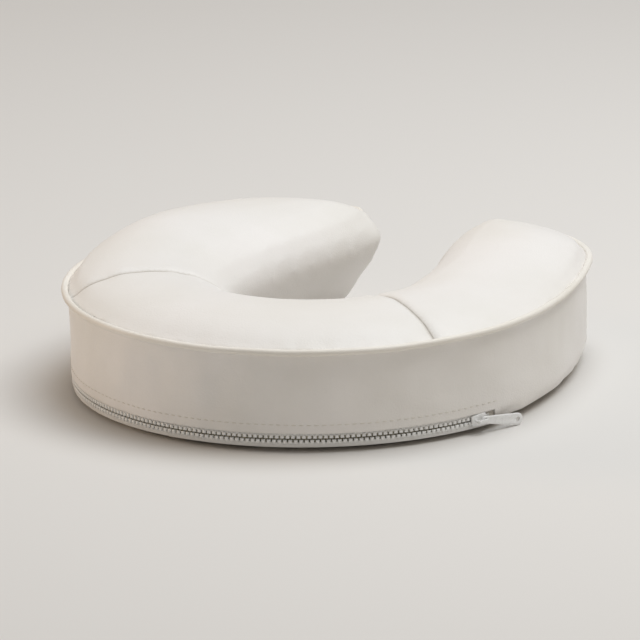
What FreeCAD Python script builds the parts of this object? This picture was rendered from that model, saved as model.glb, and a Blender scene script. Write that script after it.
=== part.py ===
import FreeCAD, Part
import os
from math import sin, cos, radians, degrees, asin, pi
from FreeCAD import Vector

os.makedirs("parts", exist_ok=True)

# A horseshoe face cushion, lying on its hook-and-loop pads. Millimetres, +Z up.
# X runs across the face, -Y is the closed forehead side, +Y the open chin side.
# The origin is the middle of the cushion's footprint, at the underside of the pads.

# Outer shape
cushion_width = 281.0
cushion_depth = 290.0
crown_height = 73.0
welt_height = 58.0
side_radius = 290.0
side_sweep = radians(20.0)

# Face opening and chin gap, both measured at the fullest height of the inner wall
nose_height = 44.0
face_radius = 46.0
chin_half_gap = 25.0
arm_corner_radius = 10.0

# Soft layers
vinyl = 1.2
foam_gap = 0.3
inner_chords = 4
core_top = 40.0
seam_angle = radians(54.5)

# Underside
pad_thickness = 2.0
panel_top = pad_thickness + vinyl
foam_bottom = panel_top + 1.2
pad_width = 40.0
front_pad_length = 100.0
front_pad_y = -106.0
arm_pad_length = 110.0
arm_pad_x = 94.0
arm_pad_y = 35.0
pad_corner = 6.0

# Welt round the upper edge
welt_radius = 1.6
welt_cord_radius = 0.9
welt_reach = 0.3
welt_sides = 8

# Zip, on a true circle about the cushion's front radius
zip_closed_angle = 66.0
zip_open_end_angle = -84.0
chain_height = 7.8
chain_inset = 3.3
chain_thickness = 2.0
tooth_height = 1.3
tooth_pitch = 3.0
tooth_half_width = 0.68
tooth_half_neck = 0.46
tooth_grip = 0.7
chain_slit = 1.0
tape_thickness = 0.8
tape_upper_edge = 23.0
tape_turn_in = 12.0
hem_height = 11.5
hem_top = 22.0
hem_ply_gap = 0.45
rebate_clearance = 0.45
rebate_end_angle = 2.0
tape_past_open_end = 4.0
tape_past_closed_end = 5.0
stop_play = 0.3
stop_angle = 0.9
stop_swell = 0.1
box_angle = 1.2

# Slider and pull
slider_length = 10.5
slider_half_width = 3.4
plate_thickness = 1.0
chain_clearance = 0.25
flange_width = 0.7
tape_clearance = 0.3
neck_width = 0.6
post_radius = 0.8
post_spacing = 5.2
bridge_lift = 3.25
bridge_bar = 1.1
bridge_width = 2.0
pull_length = 27.0
pull_thickness = 1.2
pull_lift = 1.45
pull_end_width = 7.0
pull_head_radius = 2.1
pull_eye_radius = 1.1
pull_grip_hole = 1.4
pull_rest_clearance = 0.1

# Worked out from the sizes above
front_radius = cushion_width / 2
front_y = front_radius - cushion_depth / 2
back_y = cushion_depth / 2
side_x = front_radius - side_radius
corner_radius = (back_y - front_y - side_radius * sin(side_sweep)) / (1 - sin(side_sweep))
corner_x = side_x + (side_radius - corner_radius) * cos(side_sweep)
corner_y = front_y + (side_radius - corner_radius) * sin(side_sweep)
throat_drop = (face_radius - chin_half_gap) / 2
throat_run = (back_y - front_y) / 2
throat_radius = (throat_run ** 2 + throat_drop ** 2) / (2 * throat_drop)
throat_x = face_radius - throat_drop
throat_y = front_y + throat_run
past_back = back_y + 30.0
arm_end_x = chin_half_gap + arm_corner_radius
chain_radius = front_radius - chain_inset
chain_outer = chain_radius + chain_thickness / 2
chain_inner = chain_radius - chain_thickness / 2
tape_inner = chain_radius - tape_thickness / 2
tape_outer = chain_radius + tape_thickness / 2
plate_outer = chain_outer + chain_clearance + plate_thickness
plate_inner = chain_inner - chain_clearance - plate_thickness
half_slider_angle = degrees(slider_length / 2 / chain_radius)
tape_start = zip_open_end_angle - tape_past_open_end
tape_end = zip_closed_angle + tape_past_closed_end
zip_axis = Vector(0, front_y, 0)
up = Vector(0, 0, 1)

# Inner wall, seen in section: distance behind its fullest line, and height, of each curve's poles
wall_below = ((30, 0), (19, 15), (1, 37), (0, nose_height))
wall_above = ((0, nose_height), (0, 55), (12, 71.5), (46, crown_height + 0.6))
# Crown, seen in section: distance in from the welt, and height, of the curve's poles
crown_poles = ((0, welt_height), (7, 66), (22, crown_height), (46, crown_height))


def arc(start, middle, end):
    return Part.Arc(Vector(*start), Vector(*middle), Vector(*end)).toShape()


def line(start, end):
    return Part.makeLine(Vector(*start), Vector(*end))


def curve(poles):
    bezier = Part.BezierCurve()
    bezier.setPoles([Vector(*pole) for pole in poles])
    return bezier.toShape()


def profile(poles, skin):
    """A smooth curve on the outside; under the cover, where nothing shows, chords of the same curve."""
    if skin == 0:
        return [curve(poles)]
    bezier = Part.BezierCurve()
    bezier.setPoles([Vector(*pole) for pole in poles])
    points = [bezier.value(step / inner_chords) for step in range(inner_chords + 1)]
    return [line(start, end) for start, end in zip(points, points[1:])]


def both_sides(shape):
    """A shape drawn for the +X half, joined to its mirror image."""
    other = shape.mirror(Vector(0, 0, 0), Vector(1, 0, 0))
    return shape.fuse(other).removeSplitter()


def swept(section, centre, start, sweep):
    """Turns a section, drawn in the XZ plane with X as its radius, about an upright line at centre."""
    face = Part.Face(Part.Wire(section))
    face.translate(centre)
    face.rotate(centre, up, degrees(start))
    return face.revolve(centre, up, degrees(sweep))


def outer_section(skin, bottom, near, rim):
    """From the radius near out to the rim: a flat underside, the upright band and the crown."""
    top = crown_height - skin
    poles = [(rim - skin, 0, welt_height)]
    poles += [(rim - skin - inset, 0, height - skin) for inset, height in crown_poles[1:]]
    plateau = poles[-1]
    edges = [line((near, 0, bottom), (rim - skin, 0, bottom)), line((rim - skin, 0, bottom), poles[0])]
    edges += profile(poles, skin)
    edges.append(line(plateau, (near, 0, top)))
    edges.append(line((near, 0, top), (near, 0, bottom)))
    return edges


def outer_form(skin, bottom):
    """The cushion before its opening is cut: an upright band with a crown that rises from the welt."""
    near = -side_x + 1.0
    quarter = swept(outer_section(skin, bottom, 0, front_radius), zip_axis, -pi / 2, pi / 2)
    flank = swept(outer_section(skin, bottom, near, side_radius), Vector(side_x, front_y, 0), 0, side_sweep)
    corner_at = Vector(corner_x, corner_y, 0)
    corner = swept(outer_section(skin, bottom, 0, corner_radius), corner_at, side_sweep, pi / 2 - side_sweep)
    back = Part.Face(Part.Wire(outer_section(skin, bottom, 0, corner_radius)))
    back.rotate(Vector(0, 0, 0), up, 90)
    back.translate(corner_at)
    back = back.extrude(Vector(-corner_x, 0, 0))
    inward = Vector(cos(side_sweep), sin(side_sweep), 0) * near
    ray_start = Vector(side_x, front_y, bottom) + inward
    points = [Vector(corner_x, corner_y, bottom), Vector(ray_start.x, corner_y, bottom), ray_start]
    rise = Vector(0, 0, crown_height - skin - bottom)
    middle = Part.Face(Part.makePolygon(points + points[:1])).extrude(rise)
    half = quarter.fuse([flank, corner, back, middle])
    return both_sides(half.common(box((0, -200, -5), (200, 200, 100))))


def wall_section(skin, near, face, inward=1):
    """From the radius near out to the inner wall's curve; inward is -1 where the wall bends the other way."""
    below = [(face + inward * (back + skin), 0, height) for back, height in wall_below]
    above = [(face + inward * (back + skin), 0, height) for back, height in wall_above[:2]]
    above += [(face + inward * back, 0, height - skin) for back, height in wall_above[2:]]
    rise = crown_height + 5
    edges = profile(below, skin) + profile(above, skin)
    edges.append(line(above[-1], (above[-1][0], 0, rise)))
    edges.append(line((above[-1][0], 0, rise), (near, 0, rise)))
    edges.append(line((near, 0, rise), (near, 0, 0)))
    edges.append(line((near, 0, 0), below[0]))
    return edges


def throat_form(skin):
    """The face opening and the chin gap behind it: a half round, then sides that draw in and straighten out."""
    turn = asin(throat_run / throat_radius)
    bend_x = face_radius - throat_radius
    flare_x = chin_half_gap + throat_radius
    quarter = swept(wall_section(skin, 0, face_radius), zip_axis, -pi / 2, pi / 2)
    narrowing = swept(wall_section(skin, -bend_x, throat_radius), Vector(bend_x, front_y, 0), 0, turn)
    far = flare_x + 20.0
    straightening = swept(wall_section(skin, far, throat_radius, -1), Vector(flare_x, back_y, 0), pi, turn)
    mouth = Part.Face(Part.Wire(wall_section(skin, 0, chin_half_gap)))
    mouth.translate(Vector(0, back_y, 0))
    mouth = mouth.extrude(Vector(0, past_back - back_y, 0))
    half = quarter.fuse([narrowing, straightening, mouth])
    return both_sides(half.common(box((0, -200, -5), (200, 200, 100))))


def outline(inset, z):
    """The outer plan line, moved in by inset: a front half circle, two long side arcs, two corners, a back."""
    front = front_radius - inset
    side = side_radius - inset
    corner = corner_radius - inset
    side_mid = (side_x + side * cos(side_sweep / 2), front_y + side * sin(side_sweep / 2), z)
    side_end = (side_x + side * cos(side_sweep), front_y + side * sin(side_sweep), z)
    turn = (pi / 2 + side_sweep) / 2
    corner_mid = (corner_x + corner * cos(turn), corner_y + corner * sin(turn), z)
    corner_end = (corner_x, corner_y + corner, z)
    right = [(front, front_y, z), side_mid, side_end, corner_mid, corner_end]
    left = [(-x, y, height) for x, y, height in reversed(right)]
    edges = [arc(left[4], (0, front_y - front, z), right[0])]
    edges.append(arc(right[0], right[1], right[2]))
    edges.append(arc(right[2], right[3], right[4]))
    edges.append(line(right[4], left[0]))
    edges.append(arc(left[0], left[1], left[2]))
    edges.append(arc(left[2], left[3], left[4]))
    return Part.Wire(edges)


def prism(wire, height):
    return Part.Face(wire).extrude(Vector(0, 0, height))


def box(low, high):
    size = [b - a for a, b in zip(low, high)]
    return Part.makeBox(*size, Vector(*low))


def ring(inner, outer, bottom, top, start, end):
    """Part of a flat-sided ring about the zip's axis; angles are degrees from -Y towards +X."""
    corners = [(0, -inner, bottom), (0, -outer, bottom), (0, -outer, top), (0, -inner, top)]
    points = [Vector(x, y + front_y, z) for x, y, z in corners]
    face = Part.Face(Part.makePolygon(points + points[:1]))
    face.rotate(zip_axis, up, start)
    return face.revolve(zip_axis, up, end - start)


def arm_corner(side, skin):
    """What is trimmed off the inner corner of one arm's end, to leave it round, with the band's own crown."""
    centre = Vector(arm_end_x, back_y - arm_corner_radius, 0)
    section = Part.Face(Part.Wire(outer_section(skin, -5.0, -past_back, arm_corner_radius)))
    section = section.common(box((0, -1, -10), (arm_corner_radius, 1, crown_height + 5))).Faces[0]
    section.translate(centre)
    section.rotate(centre, up, 90)
    kept = section.revolve(centre, up, 90)
    corner = box((chin_half_gap - 5, centre.y, 0), (arm_end_x, back_y + 5, crown_height + 5))
    shape = corner.cut(kept)
    return shape if side > 0 else shape.mirror(Vector(0, 0, 0), Vector(1, 0, 0))


def form(skin, bottom):
    """The whole cushion, skin deep inside its outer surface, standing on the height bottom."""
    body = outer_form(skin, bottom).cut(throat_form(skin))
    for side in (1, -1):
        body = body.cut(arm_corner(side, skin))
    return body.removeSplitter()


def wedge(start, end, reach=400.0):
    """An upright block over a range of angles about the front radius's centre."""
    points = [Vector(0, front_y, -5)]
    steps = 4
    for step in range(steps + 1):
        angle = radians(start + (end - start) * step / steps)
        points.append(Vector(reach * sin(angle), front_y - reach * cos(angle), -5))
    return Part.Face(Part.makePolygon(points + points[:1])).extrude(Vector(0, 0, 100))


def welt_section(radius, centre_x):
    """A many-sided outline about the welt's line, near enough to round at its size."""
    points = []
    for side in range(welt_sides):
        turn = 2 * pi * (side + 0.5) / welt_sides
        points.append(Vector(centre_x + radius * cos(turn), 0, welt_height + radius * sin(turn)))
    return Part.makePolygon(points + points[:1])


def welt_rod(radius):
    """A rod along the upper edge of the band, from one arm's end round the forehead to the other."""
    runs = [(zip_axis, front_radius, -pi / 2, pi / 2), (Vector(side_x, front_y, 0), side_radius, 0, side_sweep)]
    runs.append((Vector(corner_x, corner_y, 0), corner_radius, side_sweep, pi / 2 - side_sweep))
    rods = []
    for centre, rim, start, sweep in runs:
        rods.append(swept(welt_section(radius, rim + welt_reach).Edges, centre, start, sweep))
    end = Part.Face(welt_section(radius, 0))
    end.rotate(Vector(0, 0, 0), up, 90)
    end.translate(Vector(arm_end_x, back_y + welt_reach, 0))
    rods.append(end.extrude(Vector(corner_x - arm_end_x, 0, 0)))
    return both_sides(rods[0].fuse(rods[1:]))


def band_space():
    """Where the outer boxing strip may lie: the cover's thickness, round from one arm's end to the other."""
    rim = prism(outline(-1.0, panel_top), welt_height - panel_top).cut(prism(outline(vinyl, 0), 100))
    return rim.cut(box((-arm_end_x, 0, -5), (arm_end_x, past_back, 100)))


def make_covers(shell, rod):
    """The three panels of the upper cover, divided by the two sewn seams beside the forehead."""
    upper = shell.cut(band_space()).cut(rod)
    angle = degrees(seam_angle)
    front = wedge(-angle, angle)
    sides = upper.cut(front)
    half = 400.0
    right = box((0, -half, -half), (half, half, half))
    return upper.common(front), sides.cut(right), sides.common(right)


def make_side_band(shell, rod):
    """The outer boxing strip. It stops at the arms' end corners, and over the zip at a folded hem."""
    band = shell.common(band_space())
    band = band.cut(ring(front_radius - 2 * vinyl, front_radius + 2, 0, hem_height, tape_start, tape_end))
    inner_ply = front_radius - 2 * vinyl - hem_ply_gap
    fold = ring(inner_ply, front_radius - vinyl, hem_height, hem_height + vinyl, tape_start, tape_end)
    ply = ring(inner_ply, inner_ply + vinyl, hem_height + vinyl, hem_top, tape_start, tape_end)
    return band.cut(rod).fuse([fold, ply]).removeSplitter()


def make_bottom_panel():
    """The flat underside, cut back along the zip to leave the slider room."""
    panel = prism(outline(0, pad_thickness), vinyl)
    panel = panel.cut(throat_form(0))
    for side in (1, -1):
        panel = panel.cut(arm_corner(side, 0))
    return panel.cut(ring(tape_outer, front_radius + 2, 0, 10, tape_start, tape_end)).removeSplitter()


def make_foam():
    """The foam, in a firm core and a soft topping, with a rebate along the zip."""
    body = form(vinyl + foam_gap, foam_bottom)
    start = tape_start - rebate_end_angle
    end = tape_end + rebate_end_angle
    rebate = ring(plate_inner - rebate_clearance, front_radius + 2, 0, tape_upper_edge + 2, start, end)
    body = body.cut(rebate)
    under = box((-200, -200, -5), (200, 200, core_top))
    return body.common(under), body.cut(under)


def make_pad(x, y, width, length):
    """One rounded hook-and-loop pad, convex and flat."""
    pad = box((x - width / 2, y - length / 2, 0), (x + width / 2, y + length / 2, pad_thickness))
    upright = [edge for edge in pad.Edges if abs(edge.tangentAt(0).z) > 0.9]
    return pad.makeFillet(pad_corner, upright)


def make_tapes():
    """The upper tape stands behind the hem; the lower one turns in over the bottom panel."""
    row = chain_slit / 2 + tooth_height
    turn = panel_top + tape_thickness
    upper = ring(tape_inner, tape_outer, chain_height + row, tape_upper_edge, tape_start, tape_end)
    leg = ring(tape_inner, tape_outer, panel_top, chain_height - row, tape_start, tape_end)
    turned = ring(tape_inner - tape_turn_in, tape_inner, panel_top, turn, tape_start, tape_end)
    return upper, leg.fuse(turned).removeSplitter()


def make_tooth(side):
    """A moulded tooth: a forked root astride the tape's edge, a narrow neck and a wider head."""
    tip = chain_slit / 2
    edge = tip + tooth_height
    root = edge + tooth_grip
    half = [(tooth_half_width, root), (tooth_half_neck, (tip + edge) / 2), (tooth_half_width, tip)]
    outline_points = half + [(-x, z) for x, z in reversed(half)]
    points = [Vector(x, front_y - chain_outer, chain_height + side * z) for x, z in outline_points]
    tooth = Part.Face(Part.makePolygon(points + points[:1])).extrude(Vector(0, chain_thickness, 0))
    ends = sorted((chain_height + side * edge, chain_height + side * (root + 1)))
    slot = box((-2, front_y - tape_outer, ends[0]), (2, front_y - tape_inner, ends[1]))
    return tooth.cut(slot)


def make_teeth(side):
    """One row of teeth on its tape; the two rows stand half a pitch apart."""
    pitch_angle = degrees(tooth_pitch / chain_radius)
    first = zip_open_end_angle + (pitch_angle / 2 if side > 0 else 0)
    last = zip_closed_angle + half_slider_angle - pitch_angle / 2
    tooth = make_tooth(side)
    teeth = []
    while first + pitch_angle * len(teeth) <= last:
        copy = tooth.copy()
        copy.rotate(zip_axis, up, first + pitch_angle * len(teeth))
        teeth.append(copy)
    return Part.makeCompound(teeth)


def make_stops(tapes):
    """A stop on each tape past the closed end, and a box joining both tapes at the open end."""
    start = zip_closed_angle + half_slider_angle + stop_play
    end = start + stop_angle
    low = chain_slit / 2
    high = low + tooth_height + stop_play
    inner = chain_inner - stop_swell
    outer = chain_outer + stop_swell
    upper = ring(inner, outer, chain_height + low, chain_height + high, start, end)
    lower = ring(inner, outer, chain_height - high, chain_height - low, start, end)
    far = zip_open_end_angle - stop_angle
    joint = ring(inner, outer, chain_height - high, chain_height + high, far - box_angle, far)
    tops = [stop.cut(tape) for stop, tape in zip((upper, lower), tapes)]
    return Part.makeCompound(tops), joint.cut(tapes[0]).cut(tapes[1])


def in_slider(shape):
    """Moves a shape drawn at the front of the cushion to where the slider stands when the zip is shut."""
    shape.rotate(zip_axis, up, zip_closed_angle)
    return shape


def slider_outline(grow):
    """The plates' shape seen from outside: wide at the mouth, narrower at the tail."""
    half = slider_length / 2 + grow
    wide = slider_half_width + grow
    narrow = wide - 0.6
    points = [(-half, -narrow + 0.8), (-half + 0.8, -narrow), (half - 3.2, -wide)]
    points += [(half - 1.0, -wide), (half, -wide + 1.4)]
    points += [(x, -z) for x, z in reversed(points)]
    return Part.makePolygon([Vector(x, front_y, chain_height + z) for x, z in points + points[:1]])


def make_slider():
    """Two plates joined by the neck at the mouth, flanges that hold the chain in, and a bridge for the pull."""
    low = chain_height - slider_half_width
    high = chain_height + slider_half_width
    half = half_slider_angle
    outer = ring(plate_outer - plate_thickness, plate_outer, low, high, -half, half)
    inner = ring(plate_inner, plate_inner + plate_thickness, low, high, -half, half)
    pieces = [inner]
    for z in (low, high - flange_width):
        pieces.append(ring(tape_outer + tape_clearance, plate_outer, z, z + flange_width, -half, half))
        pieces.append(ring(plate_inner, tape_inner - tape_clearance, z, z + flange_width, -half, half))
    neck_half = neck_width / 2
    neck_low = chain_height - neck_half
    neck_high = chain_height + neck_half
    pieces.append(ring(plate_inner, plate_outer, neck_low, neck_high, half - 1.3, half - 0.2))
    body = outer.fuse(pieces)
    trim = Part.Face(slider_outline(0)).extrude(Vector(0, -2 * front_radius, 0))
    body = body.common(trim)
    bridge_y = front_y - plate_outer - bridge_lift
    for x in (post_spacing / 2, -post_spacing / 2):
        foot = Vector(x, front_y - plate_outer + 0.3, chain_height)
        body = body.fuse(Part.makeCylinder(post_radius, bridge_lift + 0.8, foot, Vector(0, -1, 0)))
    half_bar = post_spacing / 2 + post_radius + 0.2
    bar = box((-half_bar, bridge_y - bridge_bar, chain_height - bridge_width / 2),
              (half_bar, bridge_y, chain_height + bridge_width / 2))
    upright = [edge for edge in bar.Edges if abs(edge.tangentAt(0).z) > 0.9]
    ends = [edge for edge in upright if edge.CenterOfMass.y < bridge_y - bridge_bar / 2]
    return in_slider(body.fuse(bar.makeFillet(bridge_bar * 0.8, ends)).removeSplitter())


def make_pull():
    """The pull: an eye round the bridge's leading post, a blade that widens to its end, and a grip hole."""
    end_radius = pull_end_width / 2
    reach = pull_length - end_radius
    slope = asin((end_radius - pull_head_radius) / reach)
    head_top = (pull_head_radius * -sin(slope), pull_head_radius * cos(slope))
    end_top = (reach - end_radius * sin(slope), end_radius * cos(slope))
    y = front_y - plate_outer - pull_lift
    head = arc((head_top[0], y, head_top[1]), (-pull_head_radius, y, 0), (head_top[0], y, -head_top[1]))
    tip = arc((end_top[0], y, -end_top[1]), (pull_length, y, 0), (end_top[0], y, end_top[1]))
    lower = line((head_top[0], y, -head_top[1]), (end_top[0], y, -end_top[1]))
    upper = line((end_top[0], y, end_top[1]), (head_top[0], y, head_top[1]))
    outward = Vector(0, -1, 0)
    blade = Part.Face(Part.Wire([head, lower, tip, upper])).extrude(outward * pull_thickness)
    rim = [edge for edge in blade.Edges if abs(edge.BoundBox.YLength) < 0.01 and edge.BoundBox.YMax < y - 0.5]
    blade = blade.makeChamfer(pull_thickness * 0.25, rim)
    for x, radius in ((0, pull_eye_radius), (reach, pull_grip_hole)):
        blade = blade.cut(Part.makeCylinder(radius, 3 * pull_thickness, Vector(x, y + 1, 0), outward))
    sink = chain_height - end_radius - pull_rest_clearance
    blade.rotate(Vector(0, 0, 0), Vector(0, 1, 0), degrees(asin(sink / reach)))
    blade.translate(Vector(post_spacing / 2, 0, chain_height))
    return in_slider(blade)


def save(name, shape):
    shape.exportStep("parts/" + name + ".step")
    print(name, "solids", len(shape.Solids), "valid", shape.isValid(), "cm3", round(shape.Volume / 1000, 2))


shell = form(0, panel_top).cut(form(vinyl, panel_top - 1.0))
welt = welt_rod(welt_radius)
side_band = make_side_band(shell, welt)
cover_front, cover_left, cover_right = make_covers(shell, welt)
foam_core, foam_topping = make_foam()
tape_upper, tape_lower = make_tapes()
top_stops, bottom_stop = make_stops((tape_upper, tape_lower))
cord = welt_rod(welt_cord_radius)

save("cover_front", cover_front)
save("cover_left", cover_left)
save("cover_right", cover_right)
save("side_band", side_band)
save("bottom_panel", make_bottom_panel())
save("welt_sleeve", welt.cut(cord))
save("welt_cord", cord)
save("foam_core", foam_core)
save("foam_topping", foam_topping)
save("zip_tape_upper", tape_upper)
save("zip_tape_lower", tape_lower)
save("zip_teeth_upper", make_teeth(1))
save("zip_teeth_lower", make_teeth(-1))
save("zip_top_stops", top_stops)
save("zip_bottom_stop", bottom_stop)
save("zip_slider", make_slider())
save("zip_pull", make_pull())
save("pad_front", make_pad(0, front_pad_y, front_pad_length, pad_width))
save("pad_left", make_pad(-arm_pad_x, arm_pad_y, pad_width, arm_pad_length))
save("pad_right", make_pad(arm_pad_x, arm_pad_y, pad_width, arm_pad_length))
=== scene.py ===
import math
import bpy
import bmesh
from mathutils import Matrix, Vector, noise
from mathutils.bvhtree import BVHTree


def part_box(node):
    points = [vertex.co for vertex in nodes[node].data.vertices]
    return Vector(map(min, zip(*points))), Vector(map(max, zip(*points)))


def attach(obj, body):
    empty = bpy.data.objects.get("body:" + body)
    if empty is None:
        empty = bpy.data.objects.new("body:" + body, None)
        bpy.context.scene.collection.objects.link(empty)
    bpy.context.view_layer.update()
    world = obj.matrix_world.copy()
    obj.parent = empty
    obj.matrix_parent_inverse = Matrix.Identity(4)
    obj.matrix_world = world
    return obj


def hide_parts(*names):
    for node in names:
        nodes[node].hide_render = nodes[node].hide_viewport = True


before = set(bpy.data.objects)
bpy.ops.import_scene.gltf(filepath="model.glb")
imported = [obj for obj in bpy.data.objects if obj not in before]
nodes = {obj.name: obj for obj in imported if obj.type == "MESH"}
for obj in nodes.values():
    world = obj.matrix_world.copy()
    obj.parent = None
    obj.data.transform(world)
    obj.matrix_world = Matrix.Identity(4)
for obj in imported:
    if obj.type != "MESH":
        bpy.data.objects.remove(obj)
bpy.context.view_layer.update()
print("frame loaded")

# the cushion's plan: a half circle in front, two long side arcs, two back corners and a straight back
bandLow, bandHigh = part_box("side_band")
plan = {
    "sideRadius": 0.290,
    "sideSweep": math.radians(20),
    "armEndX": 0.035,
    "weltHeight": 0.058,
    "hemHeight": 0.0115,
    "noseHeight": 0.044,
    "zipStart": math.radians(-88),
    "zipEnd": math.radians(71),
    "seamAngle": math.radians(54.5),
    "chainHeight": 0.0078,
}
frontR = (bandHigh.x - bandLow.x) / 2
frontY = bandLow.y + frontR
backY = bandHigh.y
sideR = plan["sideRadius"]
sideX = frontR - sideR
sweep = plan["sideSweep"]
cornerR = (backY - frontY - sideR * math.sin(sweep)) / (1 - math.sin(sweep))
cornerX = sideX + (sideR - cornerR) * math.cos(sweep)
cornerY = frontY + (sideR - cornerR) * math.sin(sweep)
armEndX = plan["armEndX"]
weltHeight = plan["weltHeight"]
hemHeight = plan["hemHeight"]
noseHeight = plan["noseHeight"]
zipCentre = Vector((0, frontY, 0))
up = Vector((0, 0, 1))


def outlineDistance(x, y):
    # how far a point lies inside the cushion's outer line; negative outside it
    x = abs(x)
    if y <= frontY:
        return frontR - math.hypot(x, y - frontY)
    turn = math.atan2(y - cornerY, x - cornerX)
    if turn >= sweep and x >= cornerX:
        return cornerR - math.hypot(x - cornerX, y - cornerY)
    if x < cornerX and y > cornerY:
        return backY - y
    return sideR - math.hypot(x - sideX, y - frontY)


def slopeInward(x, y):
    # the level direction in which a point moves fastest away from the outer line
    step = 0.0004
    slope = Vector((outlineDistance(x + step, y) - outlineDistance(x - step, y),
                    outlineDistance(x, y + step) - outlineDistance(x, y - step), 0))
    return slope.normalized()


def outlineTravel(x, y):
    # a length along the outer line that grows from the forehead, for patterns that follow the edge
    if y <= frontY:
        return frontR * math.atan2(x, frontY - y)
    side = 1 if x > 0 else -1
    return side * (frontR * math.pi / 2 + (y - frontY) + max(0.0, cornerX - abs(x)))


def zipAngle(x, y):
    # angle round the front's centre, from the forehead towards the right arm
    return math.atan2(x, frontY - y)


def ease(value, low, high):
    # 0 below low, 1 above high, smooth between
    share = min(1.0, max(0.0, (value - low) / (high - low)))
    return share * share * (3 - 2 * share)


def inZip(x, y, margin=0.0):
    return plan["zipStart"] - margin < zipAngle(x, y) < plan["zipEnd"] + margin


def ray(angle):
    # the level direction at an angle round the front, and the one square to it
    direction = Vector((math.sin(angle), -math.cos(angle), 0))
    return direction, Vector((-direction.y, direction.x, 0))


def newPiece(name, bm, smooth=True):
    mesh = bpy.data.meshes.new(name)
    bm.to_mesh(mesh)
    bm.free()
    piece = bpy.data.objects.new(name, mesh)
    bpy.context.scene.collection.objects.link(piece)
    for face in mesh.polygons:
        face.use_smooth = smooth
    return piece


def applyModifiers(piece):
    deps = bpy.context.evaluated_depsgraph_get()
    mesh = bpy.data.meshes.new_from_object(piece.evaluated_get(deps))
    piece.modifiers.clear()
    piece.data = mesh


def finishPiece(piece, rides, slot, *stoodFor):
    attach(piece, rides)
    if stoodFor:
        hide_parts(*stoodFor)
    piece.data.materials.clear()
    piece.data.materials.append(materials[slot])
    return piece


# materials are all built from nodes, on the object's own coordinates
class Graph:
    # one material's nodes, added and joined one at a time
    def __init__(self, name):
        self.material = bpy.data.materials.new(name)
        self.material.use_nodes = True
        self.tree = self.material.node_tree
        self.shader = self.tree.nodes["Principled BSDF"]
        self.place = self.add("ShaderNodeTexCoord").outputs["Object"]

    def add(self, kind, **settings):
        node = self.tree.nodes.new(kind)
        for key, value in settings.items():
            setattr(node, key, value)
        return node

    def put(self, socket, value):
        if isinstance(value, bpy.types.NodeSocket):
            self.tree.links.new(value, socket)
        else:
            socket.default_value = value

    def math(self, kind, first, second=0.0):
        node = self.add("ShaderNodeMath", operation=kind)
        self.put(node.inputs[0], first)
        self.put(node.inputs[1], second)
        return node.outputs[0]

    def noise(self, scale, detail=3.0, place=None):
        node = self.add("ShaderNodeTexNoise")
        self.put(node.inputs["Vector"], place or self.place)
        self.put(node.inputs["Scale"], scale)
        self.put(node.inputs["Detail"], detail)
        return node.outputs["Fac"]

    def cells(self, scale, place=None):
        node = self.add("ShaderNodeTexVoronoi", feature="SMOOTH_F1")
        self.put(node.inputs["Vector"], place or self.place)
        self.put(node.inputs["Scale"], scale)
        self.put(node.inputs["Smoothness"], 0.35)
        return node.outputs["Distance"]

    def ramp(self, value, low, high, toLow, toHigh):
        node = self.add("ShaderNodeMapRange")
        for socket, item in zip(node.inputs, (value, low, high, toLow, toHigh)):
            self.put(socket, item)
        return node.outputs["Result"]

    def mix(self, share, first, second):
        node = self.add("ShaderNodeMix", data_type="RGBA")
        self.put(node.inputs[0], share)
        self.put(node.inputs[6], (*first, 1) if isinstance(first, tuple) else first)
        self.put(node.inputs[7], (*second, 1) if isinstance(second, tuple) else second)
        return node.outputs[2]

    def bump(self, height, depth, strength=1.0, under=None):
        node = self.add("ShaderNodeBump")
        self.put(node.inputs["Height"], height)
        self.put(node.inputs["Distance"], depth)
        self.put(node.inputs["Strength"], strength)
        if under:
            self.put(node.inputs["Normal"], under)
        return node.outputs["Normal"]

    def attribute(self, name):
        return self.add("ShaderNodeAttribute", attribute_name=name).outputs["Fac"]

    def finish(self, colour, roughness, normal=None, **more):
        self.put(self.shader.inputs["Base Color"], (*colour, 1) if isinstance(colour, tuple) else colour)
        self.put(self.shader.inputs["Roughness"], roughness)
        if normal:
            self.put(self.shader.inputs["Normal"], normal)
        for key, value in more.items():
            self.put(self.shader.inputs[key.replace("_", " ")], value)
        return self.material


def tone(red, green, blue):
    # a colour as it is seen, on the 0 to 255 scale, turned into the linear one shaders use
    return tuple(((part / 255 + 0.055) / 1.055) ** 2.4 for part in (red, green, blue))


leatherLook = {
    "light": tone(236, 232, 228),
    "deep": tone(230, 226, 220),
    # the colour of the painted shade in the seams' grooves
    "seam": tone(176, 167, 154),
    "grain": 950.0,
    "pores": 2600.0,
    "grainDepth": 0.00016,
}


def leather(name, light, deep, grainDepth):
    # soft coated leather: pebbled grain over slow creases; painted shade keeps the grain lighter on its
    # high spots than in its low ones, and darker in the seams' grooves
    g = Graph(name)
    patches = g.ramp(g.noise(14.0, 4.0), 0.35, 0.65, 0.0, 1.0)
    colour = g.mix(patches, light, deep)
    stretch = g.noise(70.0, 2.0)
    cells = g.cells(leatherLook["grain"])
    pores = g.noise(leatherLook["pores"], 2.0)
    # painted shade: darker between the grain's pebbles, in its low spots
    colour = g.mix(g.ramp(cells, 0.5, 0.95, 0.0, 0.22), colour, deep)
    # painted shade: darker where the seamShade attribute marks a seam's groove
    colour = g.mix(g.attribute("seamShade"), colour, leatherLook["seam"])
    height = g.math("ADD", g.math("MULTIPLY", cells, -0.7), g.math("MULTIPLY", pores, 0.25))
    fine = g.bump(height, grainDepth, 0.65)
    normal = g.bump(stretch, 0.0012, 0.12, fine)
    rough = g.math("ADD", g.ramp(cells, 0.2, 0.9, 0.40, 0.52), g.ramp(patches, 0.0, 1.0, -0.03, 0.03))
    return g.finish(colour, rough, normal, Specular_IOR_Level=0.36, Coat_Weight=0.05, Coat_Roughness=0.45,
                    Sheen_Weight=0.08, Sheen_Roughness=0.5)


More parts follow.
